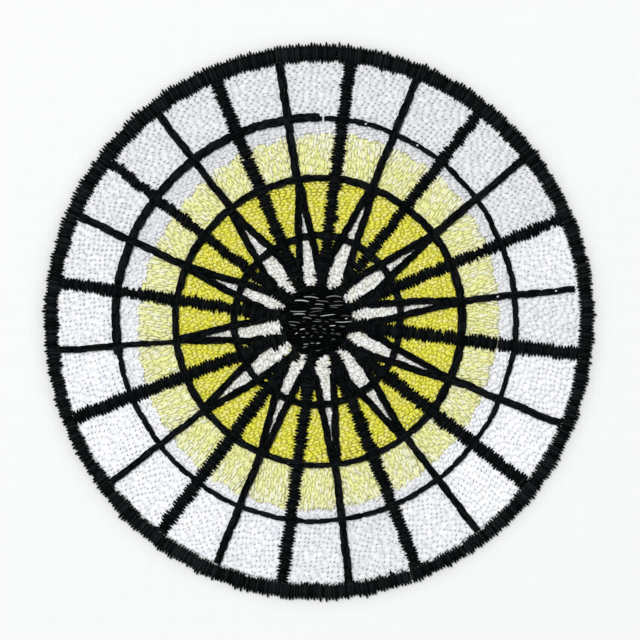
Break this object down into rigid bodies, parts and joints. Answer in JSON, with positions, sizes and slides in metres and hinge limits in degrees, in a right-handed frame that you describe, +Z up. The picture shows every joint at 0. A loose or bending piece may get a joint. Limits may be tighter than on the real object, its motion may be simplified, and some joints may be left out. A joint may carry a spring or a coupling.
{
  "type": "embroidered cloth panel",
  "caption": "Square of white woven cotton lying flat, machine embroidered with a round wheel window of black spokes and rings over white, yellow and gold thread.",
  "frame": {"origin": "middle of the cloth, on its underside", "axes": "+Z up through the cloth to the stitched face, +Y towards the top of the motif"},
  "size_m": [0.0768, 0.0768, 0.0012],
  "materials": {
    "cotton_cloth": "plain-woven cotton, matt",
    "white_thread": "satin-lustre embroidery thread, filled rows",
    "pale_yellow_thread": "satin-lustre embroidery thread, filled rows",
    "gold_thread": "satin-lustre embroidery thread, filled rows",
    "cream_thread": "satin-lustre embroidery thread, filled rows",
    "black_thread": "satin-lustre embroidery thread, satin and running stitch"
  },
  "bodies": {
    "root": {"ground_cloth": "cotton_cloth", "outer_white_fill": "white_thread", "inner_white_fill": "white_thread", "pale_yellow_fill": "pale_yellow_thread", "gold_fill": "gold_thread", "ray_fill_01": "cream_thread", "ray_fill_02": "cream_thread", "ray_fill_03": "cream_thread", "ray_fill_04": "cream_thread", "ray_fill_05": "cream_thread", "ray_fill_06": "cream_thread", "ray_fill_07": "cream_thread", "ray_fill_08": "cream_thread", "ray_fill_09": "cream_thread", "ray_fill_10": "cream_thread", "ray_fill_11": "cream_thread", "ray_fill_12": "cream_thread", "outer_ring": "black_thread", "middle_ring": "black_thread", "inner_ring": "black_thread", "star_outline_01": "black_thread", "star_outline_02": "black_thread", "star_outline_03": "black_thread", "star_outline_04": "black_thread", "star_outline_05": "black_thread", "star_outline_06": "black_thread", "star_outline_07": "black_thread", "star_outline_08": "black_thread", "star_outline_09": "black_thread", "star_outline_10": "black_thread", "star_outline_11": "black_thread", "star_outline_12": "black_thread", "thin_spoke_01": "black_thread", "thin_spoke_02": "black_thread", "thin_spoke_03": "black_thread", "thin_spoke_04": "black_thread", "thin_spoke_05": "black_thread", "thin_spoke_06": "black_thread", "thin_spoke_07": "black_thread", "thin_spoke_08": "black_thread", "thin_spoke_09": "black_thread", "thin_spoke_10": "black_thread", "thin_spoke_11": "black_thread", "thin_spoke_12": "black_thread", "thick_spoke_01": "black_thread", "thick_spoke_02": "black_thread", "thick_spoke_03": "black_thread", "thick_spoke_04": "black_thread", "thick_spoke_05": "black_thread", "thick_spoke_06": "black_thread", "thick_spoke_07": "black_thread", "thick_spoke_08": "black_thread", "thick_spoke_09": "black_thread", "thick_spoke_10": "black_thread", "thick_spoke_11": "black_thread", "thick_spoke_12": "black_thread", "hub": "black_thread", "border": "black_thread"}
  },
  "joints": []
}
